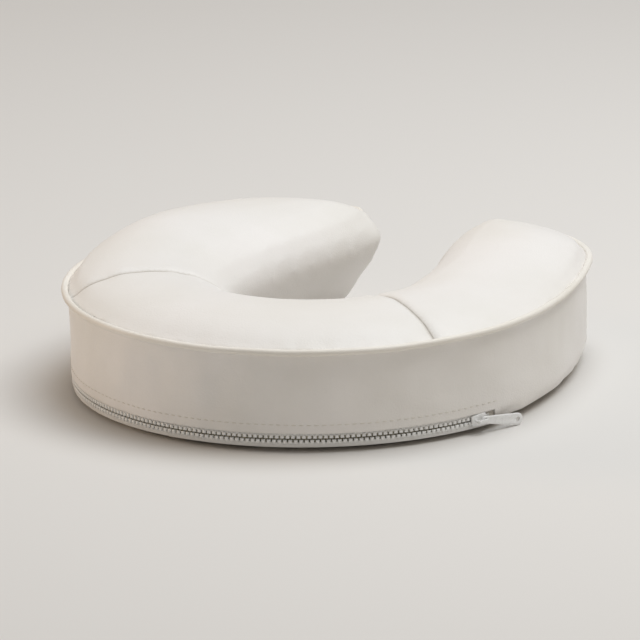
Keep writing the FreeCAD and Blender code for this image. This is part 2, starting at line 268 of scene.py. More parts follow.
def alongZip(g, pitch):
    # two waves, one round the zip's arc and one up its height, for cloth woven on the tape
    split = g.add("ShaderNodeSeparateXYZ")
    g.put(split.inputs[0], g.place)
    angle = g.math("ARCTAN2", split.outputs[0], g.math("SUBTRACT", frontY, split.outputs[1]))
    around = g.math("MULTIPLY", angle, frontR * 2 * math.pi / pitch)
    height = g.math("MULTIPLY", split.outputs[2], 2 * math.pi / pitch)
    return around, height


tapeLook = {
    "pitch": 0.0011,
    # the weave's hollows, darker as painted shade
    "hollow": tone(222, 221, 218),
    "raised": tone(242, 241, 238),
    "handled": tone(214, 210, 203),
}


def wovenTape(name):
    # twill over a rib, with painted shade in the weave's hollows, a little greyer where it is handled
    g = Graph(name)
    around, height = alongZip(g, tapeLook["pitch"])
    twill = g.math("SINE", g.math("ADD", around, height))
    rib = g.math("SINE", g.math("MULTIPLY", height, 1.9))
    weave = g.math("ADD", g.math("MULTIPLY", twill, 0.5), g.math("MULTIPLY", rib, 0.35))
    fluff = g.noise(3200.0, 3.0)
    # painted shade: the weave darker in its hollows than on its raised threads
    shade = g.ramp(weave, -0.8, 0.8, 0.0, 0.55)
    colour = g.mix(shade, tapeLook["hollow"], tapeLook["raised"])
    colour = g.mix(g.ramp(g.noise(60.0), 0.45, 0.75, 0.0, 0.35), colour, tapeLook["handled"])
    normal = g.bump(g.math("ADD", weave, g.math("MULTIPLY", fluff, 0.4)), 0.00012, 0.8)
    return g.finish(colour, 0.86, normal, Sheen_Weight=0.25, Specular_IOR_Level=0.2)


def thread(name, colour):
    # twisted yarn: fine slanting strands
    g = Graph(name)
    strands = g.add("ShaderNodeTexWave", wave_type="BANDS", bands_direction="DIAGONAL")
    g.put(strands.inputs["Vector"], g.place)
    g.put(strands.inputs["Scale"], 700.0)
    g.put(strands.inputs["Distortion"], 1.5)
    height = strands.outputs["Fac"]
    shades = g.mix(g.ramp(height, 0.0, 1.0, 0.0, 0.5), colour, tuple(part * 0.78 for part in colour))
    return g.finish(shades, 0.75, g.bump(height, 0.00008, 0.7), Sheen_Weight=0.2)


def mouldedPlastic(name):
    # smooth white plastic with a trace of dust
    g = Graph(name)
    grain = g.noise(2400.0, 2.0)
    dust = g.ramp(g.noise(120.0, 4.0), 0.5, 0.8, 0.0, 0.30)
    colour = g.mix(dust, tone(240, 240, 238), tone(214, 211, 205))
    return g.finish(colour, g.ramp(grain, 0.3, 0.7, 0.34, 0.46), g.bump(grain, 0.00002, 0.5),
                    Specular_IOR_Level=0.5)


def enamelled(name):
    # white enamel over die-cast zinc, worn a little thin along its edges
    g = Graph(name)
    flow = g.noise(420.0, 2.0)
    chips = g.ramp(g.noise(1100.0, 3.0), 0.62, 0.80, 0.0, 0.35)
    wear = g.math("MULTIPLY", chips, g.attribute("edgeWear"))
    colour = g.mix(wear, tone(236, 236, 235), tone(196, 196, 195))
    rough = g.math("ADD", g.ramp(flow, 0.3, 0.7, 0.22, 0.34), g.math("MULTIPLY", wear, 0.15))
    return g.finish(colour, rough, g.bump(flow, 0.00003, 0.6), Metallic=g.math("MULTIPLY", wear, 0.5),
                    Coat_Weight=0.35, Coat_Roughness=0.2)


def openFoam(name, light, deep, scale):
    # cut foam: open cells, with painted shade darker inside them
    g = Graph(name)
    holes = g.cells(scale)
    # painted shade inside the open cells
    colour = g.mix(g.ramp(holes, 0.15, 0.6, 0.0, 1.0), deep, light)
    return g.finish(colour, 0.95, g.bump(holes, 0.0006, 0.8), Specular_IOR_Level=0.1)


def loopPile(name):
    # brushed loops lying in slow swirls, with painted shade deep in the pile
    g = Graph(name)
    bend = g.noise(90.0, 3.0)
    shift = g.add("ShaderNodeVectorMath", operation="SCALE")
    g.put(shift.inputs[0], g.place)
    g.put(shift.inputs["Scale"], g.math("ADD", 1.0, g.math("MULTIPLY", bend, 0.012)))
    loops = g.cells(1300.0, shift.outputs[0])
    fluff = g.noise(2200.0, 4.0)
    height = g.math("ADD", g.math("MULTIPLY", loops, 0.8), g.math("MULTIPLY", fluff, 0.5))
    # painted shade: darker where the loops lie low
    colour = g.mix(g.ramp(height, 0.2, 0.9, 0.0, 1.0), tone(176, 168, 156), tone(222, 216, 205))
    colour = g.mix(g.ramp(bend, 0.4, 0.6, 0.0, 0.25), colour, tone(200, 193, 181))
    return g.finish(colour, 0.95, g.bump(height, 0.0006, 1.0), Sheen_Weight=0.5, Specular_IOR_Level=0.1)


materials = {
    "cover_leather": leather("coverLeather", leatherLook["light"], leatherLook["deep"],
                             leatherLook["grainDepth"]),
    "under_leather": leather("underLeather", tone(224, 218, 209), tone(212, 205, 194), 0.0002),
    "piping": leather("pipingLeather", tone(238, 233, 225), tone(230, 224, 214), 0.0001),
    "cord": thread("cordYarn", tone(232, 230, 222)),
    "firm_foam": openFoam("firmFoam", tone(232, 224, 196), tone(196, 182, 142), 700.0),
    "soft_foam": openFoam("softFoam", tone(242, 237, 220), tone(214, 204, 178), 1100.0),
    "zip_tape": wovenTape("zipTape"),
    "zip_plastic": mouldedPlastic("zipPlastic"),
    "zip_metal": enamelled("zipEnamel"),
    "loop_pile": loopPile("loopPile"),
}
seamThread = thread("seamThread", tone(226, 220, 210))
print("materials made")

# padded body: both foams in one skin, swelled under pressure, from which the covers are cut
padding = {
    "voxel": 0.0038,
    "cap": 0.0024,  # the furthest that the pressure may move a point
    "baseDrop": 0.00235,
    "baseFull": 0.0045,  # the drop is whole below this height, and gone above the next
    "baseGone": 0.024,
}
filler = {  # the ring that fills the rebate while the skin is swelled
    "inner": 0.126,
    "outer": 0.1392,
    "low": 0.0045,
    "high": 0.040,
    "overlap": 0.08,
    "steps": 48,
}
cloth = {
    "pressure": 3.0,
    "frames": 20,
    "quality": 6,
    "mass": 0.3,
    "stretch": 30,
    "shear": 10,
    "bend": 1.5,
    "heldBelow": 0.009,
    "weltBand": 0.010,
    "weltNear": 0.004,
    "weltHold": 0.9,
}
evening = {  # passes of smoothing, and where they reach
    "rimPasses": 8,
    "rimTop": 0.010,
    "rimWidth": 0.012,
    "zipMargin": 0.03,
    "cornerPasses": 5,
    "cornerTop": 0.040,
    "cornerBack": 0.030,
    "cornerSide": 0.060,
}
nose = {  # how each arm's inner corner draws in above its fullest line
    "draw": 0.0062,
    "reach": 0.017,
    "centreSide": 0.027,
    "centreBack": 0.004,
    "full": 0.060,
    "aimSide": 0.060,
    "aimBack": 0.040,
    "farBack": 0.05,
    "farSide": 0.075,
}
rebate = {"radius": 0.1340, "top": 0.0262, "ends": 0.03, "behind": 0.01}


def foamBody():
    # both foams and a ring that fills the rebate behind the zip, as one solid
    bm = bmesh.new()
    for name in ("foam_core", "foam_topping"):
        bm.from_mesh(nodes[name].data)
    bmesh.ops.remove_doubles(bm, verts=bm.verts, dist=0.00001)
    ring = bmesh.new()
    start = plan["zipStart"] - filler["overlap"]
    end = plan["zipEnd"] + filler["overlap"]
    corners = []
    for radius, z in (("inner", "low"), ("outer", "low"), ("outer", "high"), ("inner", "high")):
        corners.append(ring.verts.new((0, frontY - filler[radius], filler[z])))
    ring.faces.new(corners)
    bmesh.ops.rotate(ring, verts=ring.verts, cent=zipCentre, matrix=Matrix.Rotation(start, 3, "Z"))
    bmesh.ops.spin(ring, geom=ring.verts[:] + ring.edges[:] + ring.faces[:], cent=zipCentre,
                   axis=up, angle=end - start, steps=filler["steps"], use_duplicate=False)
    bmesh.ops.recalc_face_normals(ring, faces=ring.faces)
    mesh = bpy.data.meshes.new("filler")
    ring.to_mesh(mesh)
    ring.free()
    bm.from_mesh(mesh)
    bpy.data.meshes.remove(mesh)
    return newPiece("paddedBody", bm)


def padOut(piece):
    # inflates the body under its cover like a stuffed skin, held at the welt and at the base
    rest = [vert.co.copy() for vert in piece.data.vertices]
    pins = piece.vertex_groups.new(name="pins")
    for vert in piece.data.vertices:
        x, y, z = vert.co
        hold = 0.0
        if z < cloth["heldBelow"]:
            hold = 1.0
        elif outlineDistance(x, y) < cloth["weltBand"] and abs(z - weltHeight) < cloth["weltNear"]:
            hold = cloth["weltHold"]
        if hold:
            pins.add([vert.index], hold, "REPLACE")
    swell = piece.modifiers.new("padding", "CLOTH")
    setup = swell.settings
    setup.quality = cloth["quality"]
    setup.mass = cloth["mass"]
    setup.tension_stiffness = cloth["stretch"]
    setup.compression_stiffness = cloth["stretch"]
    setup.shear_stiffness = cloth["shear"]
    setup.bending_stiffness = cloth["bend"]
    setup.use_pressure = True
    setup.uniform_pressure_force = cloth["pressure"]
    setup.effector_weights.gravity = 0
    setup.vertex_group_mass = "pins"
    setup.pin_stiffness = 1.0
    swell.collision_settings.use_collision = False
    swell.point_cache.frame_start = 1
    swell.point_cache.frame_end = cloth["frames"]
    scene = bpy.context.scene
    for step in range(1, cloth["frames"] + 1):
        scene.frame_set(step)
    applyModifiers(piece)
    scene.frame_set(1)
    for vert, start in zip(piece.data.vertices, rest):
        shift = vert.co - start
        if shift.length > padding["cap"]:
            shift *= padding["cap"] / shift.length
        vert.co = start + shift


def lowerBase(piece):
    # the skin reaches a little below the foam, to the panel that closes it underneath
    for vert in piece.data.vertices:
        vert.co.z -= padding["baseDrop"] * (1 - ease(vert.co.z, padding["baseFull"], padding["baseGone"]))


def roundRim(piece):
    # evens out the band's lower edge, where it turns under, and the corners below the arms' noses
    bm = bmesh.new()
    bm.from_mesh(piece.data)
    rim = []
    corners = []
    for vert in bm.verts:
        x, y, z = vert.co
        onRim = z < evening["rimTop"] and outlineDistance(x, y) < evening["rimWidth"]
        atEnd = y > backY - evening["cornerBack"] and abs(x) < evening["cornerSide"]
        if onRim and not inZip(x, y, evening["zipMargin"]):
            rim.append(vert)
        elif z < evening["cornerTop"] and atEnd:
            corners.append(vert)
    for group, passes in ((rim, evening["rimPasses"]), (corners, evening["cornerPasses"])):
        for step in range(passes):
            bmesh.ops.smooth_vert(bm, verts=group, factor=0.5,
                                  use_axis_x=True, use_axis_y=True, use_axis_z=True)
    bm.to_mesh(piece.data)
    bm.free()


def drawIn(place):
    # above its fullest line each arm's inner corner draws in towards the crown, and comes to a soft nose
    x, y, z = place
    if y < backY - nose["farBack"] or abs(x) > nose["farSide"] or z < noseHeight:
        return place
    away = math.hypot(abs(x) - nose["centreSide"], y - (backY - nose["centreBack"]))
    amount = nose["draw"] * ease(z, noseHeight, nose["full"]) * math.exp(-(away / nose["reach"]) ** 2)
    towards = Vector((math.copysign(nose["aimSide"], x) - x, backY - nose["aimBack"] - y, 0)).normalized()
    return place + towards * amount


body = foamBody()
remesh = body.modifiers.new("remesh", "REMESH")
remesh.mode = "VOXEL"
remesh.voxel_size = padding["voxel"]
applyModifiers(body)
print("body remeshed", len(body.data.vertices))
padOut(body)
print("body padded out")
lowerBase(body)
roundRim(body)


def pressIn(place, depth):
    # moves a point towards the inside of the zip's rebate, if it stands where the zip is
    x, y, z = place
    if z > rebate["top"] or y > frontY + rebate["behind"]:
        return place
    angle = zipAngle(x, y)
    inside = ease(angle, plan["zipStart"] - rebate["ends"], plan["zipStart"]) * (
        1 - ease(angle, plan["zipEnd"], plan["zipEnd"] + rebate["ends"]))
    radius = math.hypot(x, y - frontY)
    if radius <= depth or inside == 0:
        return place
    share = (depth + (radius - depth) * (1 - inside)) / radius
    return Vector((x * share, frontY + (y - frontY) * share, z))


# foams: the padded body, a cover's thickness smaller, cut into its firm core and its soft topping
foamSetup = {"shrink": 0.0022, "split": 0.040, "gap": 0.0001}


def makeFoam(name, keepUpper):
    bm = bmesh.new()
    bm.from_mesh(body.data)
    bm.normal_update()
    for vert, normal in [(vert, vert.normal.copy()) for vert in bm.verts]:
        vert.co -= normal * foamSetup["shrink"]
    for vert in bm.verts:
        vert.co = drawIn(pressIn(vert.co, rebate["radius"]))
    height = foamSetup["split"] + (foamSetup["gap"] if keepUpper else -foamSetup["gap"])
    cut = bmesh.ops.bisect_plane(bm, geom=bm.verts[:] + bm.edges[:] + bm.faces[:], dist=0.00001,
                                 plane_co=(0, 0, height), plane_no=(0, 0, 1),
                                 clear_outer=not keepUpper, clear_inner=keepUpper)
    rim = [item for item in cut["geom_cut"] if isinstance(item, bmesh.types.BMEdge)]
    filled = bmesh.ops.holes_fill(bm, edges=rim, sides=0)
    bmesh.ops.triangulate(bm, faces=filled["faces"])
    bmesh.ops.recalc_face_normals(bm, faces=bm.faces)
    return newPiece(name, bm)


foamCore = finishPiece(makeFoam("foamCore", False), "cushion", "firm_foam", "foam_core")
foamTopping = finishPiece(makeFoam("foamTopping", True), "cushion", "soft_foam", "foam_topping")
print("foams made")

smooth = body.modifiers.new("finer", "SUBSURF")
smooth.levels = 1
smooth.render_levels = 1
applyModifiers(body)

# covers: the padded skin, creased and puckered along its seams, then cut into its panels
skin = {
    "thickness": 0.0011,
    "panelEdge": 0.0042,
    "bandDepth": 0.009,  # the band's points lie within this of the outer line
    "bandReach": 0.014,  # and faces that a cut may meet within this
    "bandFaces": 0.016,  # and its own faces within this, facing out by at least the next
    "bandFacing": 0.4,
    "cutReach": 0.01,
    "lowReach": 0.012,
    "hemReach": 0.008,
    "hemMargin": 0.05,
    "endReach": 0.02,
    "zipFrom": 0.12,
    "zipBelow": 0.03,
    "foldGap": 0.0007,
    "seamPasses": 12,
    "seamBack": 0.03,
    "seamDrop": 0.003,
}
seams = {
    "depth": 0.0013,
    "width": 0.0028,
    "steps": (-0.0026, -0.0008, 0.0, 0.0008, 0.0026),  # cuts across each seam, for its groove
    "shade": 0.8,
    "shadeWidth": 0.0010,
    "ripple": 0.0006,
    "rippleAway": 0.005,
    "rippleReach": 0.006,
    "ripples": (110, 40),
    "widest": 1.2,  # an angle
    "none": 1.0,  # stands for a seam that is nowhere near
}
creases = {  # the skin's slow unevenness: heights, where they reach, and waves to the metre along and up
    "pucker": 0.0005,
    "puckerReach": 0.011,
    "puckers": (95, 18),
    "bandPuckers": (80, 12),
    "slack": 0.0008,
    "slackFrom": (0.004, 0.02),
    "slacks": 17,
    "wave": 0.0015,
    "waveFrom": (0.018, 0.028),
    "waves": (34, 24),
    "fineWaves": (75, 40),
    "fineShare": 0.4,
    "lip": 0.0005,
    "lipReach": 0.012,
    "lipMargin": 0.04,
    "lips": (60, 20),
    "weltReach": 0.03,
    "swellFrom": (0.0012, 0.0095),
}
weltPull = {
    "inset": 0.0009,
    "middle": 0.0015,
    "reach": 0.0028,
    "limit": 0.012,
    "least": 0.01,
    "endBack": 0.02,
    "endSide": 0.004,
}
swells = (  # the arms' crowns, fuller than the foams: side, height, middle across and back, reach of both
    (-1, 0.0082, -0.118, 0.030, 0.037, 0.078),
    (1, 0.0034, 0.112, 0.090, 0.036, 0.050),
)


def seamOffset(x, y):
    # signed distance from the nearer of the two cross seams; large behind the front's centre
    angle = zipAngle(x, y)
    radius = math.hypot(x, y - frontY)
    away = abs(angle) - plan["seamAngle"]
    return radius * math.sin(away) if abs(away) < seams["widest"] else seams["none"]


def cutSkin(bm):
    # edges where the panels will part, and a few beside each seam for its groove
    def cutFaces(place, normal, wanted):
        faces = [face for face in bm.faces if wanted(face.calc_center_median())]
        geom = set(faces)
        for face in faces:
            geom.update(face.verts)
            geom.update(face.edges)
        bmesh.ops.bisect_plane(bm, geom=list(geom), dist=0.00002, plane_co=place, plane_no=normal)

    def onBand(centre):
        return outlineDistance(centre.x, centre.y) < skin["bandReach"]

    def onRay(centre, angle, start):
        direction, across = ray(angle)
        offset = centre - zipCentre
        return offset.dot(direction) > start and abs(offset.dot(across)) < near

    near = skin["cutReach"]
    for angle in (plan["seamAngle"], -plan["seamAngle"]):
        across = ray(angle)[1]
        for step in seams["steps"]:
            cutFaces(zipCentre + across * step, across, lambda c: onRay(c, angle, 0))
    cutFaces((0, 0, weltHeight), up, lambda c: onBand(c) and abs(c.z - weltHeight) < near)
    cutFaces((0, 0, skin["panelEdge"]), up, lambda c: c.z < skin["lowReach"])
    for height in (hemHeight, hemHeight + skin["foldGap"]):
        cutFaces((0, 0, height), up, lambda c: onBand(c) and abs(c.z - height) < skin["hemReach"]
                 and inZip(c.x, c.y, skin["hemMargin"]))
    for endX in (armEndX, -armEndX):
        cutFaces((endX, 0, 0), (1, 0, 0),
                 lambda c: c.y > backY - skin["endReach"] and abs(c.x - endX) < near)
    for angle in (plan["zipStart"], plan["zipEnd"]):
        cutFaces(zipCentre, ray(angle)[1],
                 lambda c: onRay(c, angle, skin["zipFrom"]) and c.z < skin["zipBelow"])


def ripple(along, height, waves, layer):
    # random waves that follow a seam or an edge; each use has a layer of its own
    return noise.noise(Vector((along * waves[0], height * waves[1], layer)))


def fullness(x, y, z, inset):
    # how much fuller an arm's crown is than its foam
    total = 0.0
    for side, height, middleX, middleY, wide, deep in swells:
        if x * side > 0:
            total += height * math.exp(-((x - middleX) / wide) ** 2 - ((y - middleY) / deep) ** 2)
    return total * ease(inset, *creases["swellFrom"]) * ease(z, noseHeight, weltHeight)


def creaseSkin(bm):
    # pulls the skin in at the cross seams and beside the piping, and puckers it where thread gathers it
    shade = bm.verts.layers.float.new("seamShade")
    bm.normal_update()
    moves = []
    for vert in bm.verts:
        x, y, z = vert.co
        inset = outlineDistance(x, y)
        travel = outlineTravel(x, y)
        onBand = inset < skin["bandDepth"] and z < weltHeight + 0.0001
        seam = abs(seamOffset(x, y)) if not onBand and z > skin["panelEdge"] else seams["none"]
        welt = math.hypot(inset, z - weltHeight) if inset < creases["weltReach"] else seams["none"]
        depth = -seams["depth"] * math.exp(-(seam / seams["width"]) ** 2)
        # painted shade: marks the cross seams' grooves, where the leather's colour is darkened
        vert[shade] = seams["shade"] * math.exp(-(seam / seams["shadeWidth"]) ** 2)
        near = math.exp(-(welt / creases["puckerReach"]) ** 2)
        puckers = (creases["bandPuckers"], 9.7) if onBand else (creases["puckers"], 3.1)
        depth += creases["pucker"] * near * ripple(travel, z, *puckers)
        beside = math.exp(-((seam - seams["rippleAway"]) / seams["rippleReach"]) ** 2)
        radius = math.hypot(x, y - frontY)
        depth += seams["ripple"] * beside * ripple(radius, z, seams["ripples"], 5.5 if x > 0 else 7.5)
        slack = noise.noise(vert.co * creases["slacks"])
        depth += creases["slack"] * slack * ease(welt, *creases["slackFrom"])
        if z > noseHeight and not onBand:
            depth += fullness(x, y, z, inset)
        if onBand:
            wave = ripple(travel, z, creases["waves"], 6.6)
            wave += creases["fineShare"] * ripple(travel, z, creases["fineWaves"], 8.8)
            depth += creases["wave"] * wave * ease(z, *creases["waveFrom"]) * (1 - near)
        if onBand and inZip(x, y, creases["lipMargin"]):
            lip = math.exp(-((z - hemHeight) / creases["lipReach"]) ** 2)
            depth += creases["lip"] * lip * ripple(travel, z, creases["lips"], 1.3)
        moves.append((vert, vert.normal * depth))
    for vert, shift in moves:
        vert.co += shift
    for vert in bm.verts:
        x, y, z = vert.co
        inset = outlineDistance(x, y)
        away = math.hypot(inset - weltPull["middle"], z - weltHeight)
        pull = math.exp(-(away / weltPull["reach"]) ** 2)
        pastEnd = y > backY - weltPull["endBack"] and abs(x) < armEndX - weltPull["endSide"]
        if pull < weltPull["least"] or inset > weltPull["limit"] or pastEnd:
            continue
        vert.co += slopeInward(x, y) * (weltPull["inset"] - inset) * pull
    for vert in bm.verts:
        vert.co = drawIn(vert.co)


def panelOf(face):
    # which panel of the cover a face of the skin belongs to
    x, y, z = face.calc_center_median()
    if z < skin["panelEdge"]:
        return "bottomPanel"
    atEnd = y > frontY and abs(x) < armEndX
    facing = face.normal.dot(-slopeInward(x, y)) > skin["bandFacing"]
    if outlineDistance(x, y) < skin["bandFaces"] and z < weltHeight and facing and not atEnd:
        if z < hemHeight and inZip(x, y):
            return "rebate"
        return "sideBand"
    if y < frontY and abs(zipAngle(x, y)) < plan["seamAngle"]:
        return "coverFront"
    return "coverRight" if x > 0 else "coverLeft"


def evenArmSeams(bm):
    # draws the line where band and cover meet, below each arm's corner, into an even one
    beside = {}
    for edge in bm.edges:
        middle = (edge.verts[0].co + edge.verts[1].co) / 2
        sides = {panels[face.index] for face in edge.link_faces}
        inFront = middle.y < backY - skin["seamBack"]
        if inFront or middle.z > weltHeight - skin["seamDrop"] or len(sides) < 2:
            continue
        if "sideBand" in sides and "bottomPanel" not in sides:
            first, second = edge.verts
            beside.setdefault(first, []).append(second)
            beside.setdefault(second, []).append(first)
    for step in range(skin["seamPasses"]):
        moved = [(vert, (near[0].co + near[1].co) / 2) for vert, near in beside.items() if len(near) == 2]
        for vert, between in moved:
            vert.co = vert.co.lerp(between, 0.5)


whole = bmesh.new()
whole.from_mesh(body.data)
cutSkin(whole)
whole.normal_update()
whole.faces.index_update()
panels = [panelOf(face) for face in whole.faces]
evenArmSeams(whole)
creaseSkin(whole)
whole.normal_update()
skinTree = BVHTree.FromBMesh(whole)
print("skin cut and creased", len(whole.faces))


def takePanel(name, node, slot):
    # one panel of the skin, given its leather's thickness inwards
    bm = whole.copy()
    bm.faces.ensure_lookup_table()
    spare = [face for face, panel in zip(bm.faces, panels) if panel != name]
    bmesh.ops.delete(bm, geom=spare, context="FACES")
    if name == "sideBand":
        foldHem(bm)
    if name == "bottomPanel":
        trimPanel(bm)
    piece = newPiece(name, bm)
    wall = piece.modifiers.new("thickness", "SOLIDIFY")
    wall.thickness = skin["thickness"]
    wall.offset = -1
    wall.use_even_offset = False
    return finishPiece(piece, "cushion", slot, node)


hem = {
    "folds": ((0.0004, 0.0004), (0.0007, 0.0001), (0.0004, -0.0006), (0.0001, -0.0030)),  # inwards, down
    "near": 0.0012,
    "margin": 0.01,
}
panelTrim = {"radius": 0.1366, "lowest": 0.00205}


def foldHem(bm):
    # turns the band's lower edge over the zip inwards and up, in a small round fold
    rim = []
    for edge in bm.edges:
        middle = (edge.verts[0].co + edge.verts[1].co) / 2
        atHem = abs(middle.z - hemHeight) < hem["near"] and inZip(middle.x, middle.y, hem["margin"])
        if edge.is_boundary and atHem:
            rim.append(edge)
    for inward, drop in hem["folds"]:
        made = bmesh.ops.extrude_edge_only(bm, edges=rim)["geom"]
        for vert in [item for item in made if isinstance(item, bmesh.types.BMVert)]:
            towards = Vector((-vert.co.x, frontY - vert.co.y, 0)).normalized()
            vert.co += towards * inward
            vert.co.z -= drop
        rim = [item for item in made if isinstance(item, bmesh.types.BMEdge)]
    bmesh.ops.recalc_face_normals(bm, faces=bm.faces)


def trimPanel(bm):
    # the panel under the zip ends where the lower tape starts
    for vert in bm.verts:
        vert.co = pressIn(vert.co, panelTrim["radius"])
        vert.co.z = max(vert.co.z, panelTrim["lowest"])


coverFront = takePanel("coverFront", "cover_front", "cover_leather")
coverLeft = takePanel("coverLeft", "cover_left", "cover_leather")
coverRight = takePanel("coverRight", "cover_right", "cover_leather")
sideBand = takePanel("sideBand", "side_band", "cover_leather")
takePanel("bottomPanel", "bottom_panel", "under_leather")
whole.free()
bpy.data.objects.remove(body)
print("covers made")

# piping: a cord wrapped in leather along the upper edge of the band
piping = {
    "radius": 0.0019,
    "cordRadius": 0.0009,
    "reach": 0.0004,
    "sides": 14,
    "cordSides": 8,
    "spacing": 0.0022,
    "dome": 5,
    "tuckBack": 0.0045,
    "tuckDown": 0.0035,
    "tuckLength": 0.009,
    "wrinkle": 0.00010,
    "sway": 0.00035,
}


def sweepRound(radius, sides):
    # a rod that follows the cushion's upper edge from one arm's end to the other, with domed ends
    bm = bmesh.new()
    start = Vector((armEndX + radius, backY + piping["reach"], weltHeight))
    bmesh.ops.create_circle(bm, cap_ends=False, radius=radius, segments=sides)
    bmesh.ops.rotate(bm, verts=bm.verts, cent=(0, 0, 0), matrix=Matrix.Rotation(math.pi / 2, 3, "Y"))
    bmesh.ops.translate(bm, verts=bm.verts, vec=start)
    ends = [bm.edges[:]]

    def newRing(made, verts):
        edges = [item for item in made if isinstance(item, bmesh.types.BMEdge)]
        return [edge for edge in edges if all(vert in verts for vert in edge.verts)]

    def straight(ring, vec, steps):
        for step in range(steps):
            made = bmesh.ops.extrude_edge_only(bm, edges=ring)["geom"]
            moved = [item for item in made if isinstance(item, bmesh.types.BMVert)]
            bmesh.ops.translate(bm, verts=moved, vec=vec / steps)
            ring = newRing(made, moved)
        return ring

    def turn(ring, centre, angle, reach):
        steps = max(2, int(abs(angle) * reach / piping["spacing"]))
        geom = list({vert for edge in ring for vert in edge.verts}) + list(ring)
        made = bmesh.ops.spin(bm, geom=geom, cent=centre, axis=up, angle=angle, steps=steps,
                              use_duplicate=False)
        return [item for item in made["geom_last"] if isinstance(item, bmesh.types.BMEdge)]

    run = cornerX - start.x
    runSteps = max(2, int(run / piping["spacing"]))
    ring = straight(ends[0], Vector((run, 0, 0)), runSteps)
    corner = math.pi / 2 - sweep
    ring = turn(ring, (cornerX, cornerY, 0), -corner, cornerR)
    ring = turn(ring, (sideX, frontY, 0), -sweep, sideR)
    ring = turn(ring, (0, frontY, 0), -math.pi, frontR)
    ring = turn(ring, (-sideX, frontY, 0), -sweep, sideR)
    ring = turn(ring, (-cornerX, cornerY, 0), -corner, cornerR)
    ring = straight(ring, Vector((run, 0, 0)), runSteps)
    ends.append(ring)
    for ring in ends:
        centre = sum((vert.co for edge in ring for vert in edge.verts), Vector()) / (2 * len(ring))
        outward = Vector((-1 if centre.x > 0 else 1, 0, 0))
        for step in range(1, piping["dome"] + 1):
            angle = math.pi / 2 * step / (piping["dome"] + 1)
            made = bmesh.ops.extrude_edge_only(bm, edges=ring)["geom"]
            verts = [item for item in made if isinstance(item, bmesh.types.BMVert)]
            for vert in verts:
                across = vert.co - centre
                across.x = 0
                across.normalize()
                vert.co = centre + across * radius * math.cos(angle) + outward * radius * math.sin(angle)
            ring = newRing(made, verts)
        cap = bmesh.ops.contextual_create(bm, geom=ring)["faces"]
        bmesh.ops.poke(bm, faces=cap)
    bmesh.ops.remove_doubles(bm, verts=bm.verts, dist=0.000005)
    bmesh.ops.recalc_face_normals(bm, faces=bm.faces)
    return bm


def tuckEnds(bm):
    # both ends dive into the seam at the arms' inner corners
    for vert in bm.verts:
        if vert.co.y > backY - 0.01:
            tuck = 1 - ease(abs(vert.co.x), armEndX, armEndX + piping["tuckLength"])
            vert.co = drawIn(vert.co - Vector((0, piping["tuckBack"], piping["tuckDown"])) * tuck)
    return bm


def wrinklePiping(bm):
    # fine folds round the cord, and a slow wander up and down
    bm.normal_update()
    for vert in bm.verts:
        x, y, z = vert.co
        travel = outlineTravel(x, y)
        vert.co += vert.normal * piping["wrinkle"] * ripple(travel, z, (260, 300), 2.2)
        vert.co.z += piping["sway"] * noise.noise(Vector((travel * 28, 4.4, 0)))
    return bm


sleeve = wrinklePiping(tuckEnds(sweepRound(piping["radius"], piping["sides"])))
cord = tuckEnds(sweepRound(piping["cordRadius"], piping["cordSides"]))
finishPiece(newPiece("piping", sleeve), "cushion", "piping", "welt_sleeve")
finishPiece(newPiece("pipingCord", cord), "cushion", "cord", "welt_cord")
print("piping made")

# thread: rows of short stitches, each a small rounded bead of twisted yarn
stitching = {
    "radius": 0.00030,
    "length": 0.0030,
    "pitch": 0.0042,
    "hemRow": 0.0162,
    "sunk": 0.00005,
    "padRow": 0.0030,
    "padEnds": 0.006,
    "padDepth": 0.00035,
}
tacks = {  # the upright stitches that close the zip's two ends; the inset and the step are angles
    "count": 13,
    "step": 0.0030,
    "inset": 0.0015,
    "length": 0.0078,
    "radius": 0.13775,
    "stagger": 0.0003,
}


def stitch(bm, place, along, outward, length=stitching["length"]):
    made = bmesh.ops.create_uvsphere(bm, u_segments=6, v_segments=4, radius=stitching["radius"])["verts"]
    bmesh.ops.scale(bm, verts=made, vec=(length / (2 * stitching["radius"]), 1, 0.8))
    across = outward.cross(along).normalized()
    turn = Matrix((along, across, outward)).transposed()
    bmesh.ops.transform(bm, verts=made, matrix=Matrix.Translation(place) @ turn.to_4x4())


def hemStitches():
    bm = bmesh.new()
    count = int((plan["zipEnd"] - plan["zipStart"]) * frontR / stitching["pitch"])
    for step in range(count + 1):
        angle = plan["zipStart"] + (plan["zipEnd"] - plan["zipStart"]) * step / count
        direction, along = ray(angle)
        origin = zipCentre + direction * (frontR + 0.02) + up * stitching["hemRow"]
        hit, normal = skinTree.ray_cast(origin, -direction)[:2]
        outward = (normal - along * normal.dot(along)).normalized()
        stitch(bm, hit + outward * stitching["sunk"], along, outward)
    for end, turn in ((plan["zipStart"], 1), (plan["zipEnd"], -1)):
        for step in range(tacks["count"]):
            direction = ray(end + turn * (tacks["inset"] + step * tacks["step"]))[0]
            height = plan["chainHeight"] + tacks["stagger"] * (step % 2)
            place = zipCentre + direction * tacks["radius"] + up * height
            stitch(bm, place, up, direction, tacks["length"])
    return bm


def finishSewing(name, bm):
    sewing = newPiece(name, bm)
    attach(sewing, "cushion")
    sewing.data.materials.append(seamThread)


finishSewing("hemStitches", hemStitches())

# loop pads: brushed pile with a pressed edge, sewn round
pads = {
    "cell": 0.002,
    "corner": 0.006,
    "pile": 0.0003,
    "edge": 0.0007,
    "edgeReach": 0.0012,
    "row": 0.0003,
    "rowReach": 0.0008,
    "tuft": 0.00022,
    "tuftsPerMetre": 420,
    "overlap": 0.00005,
}


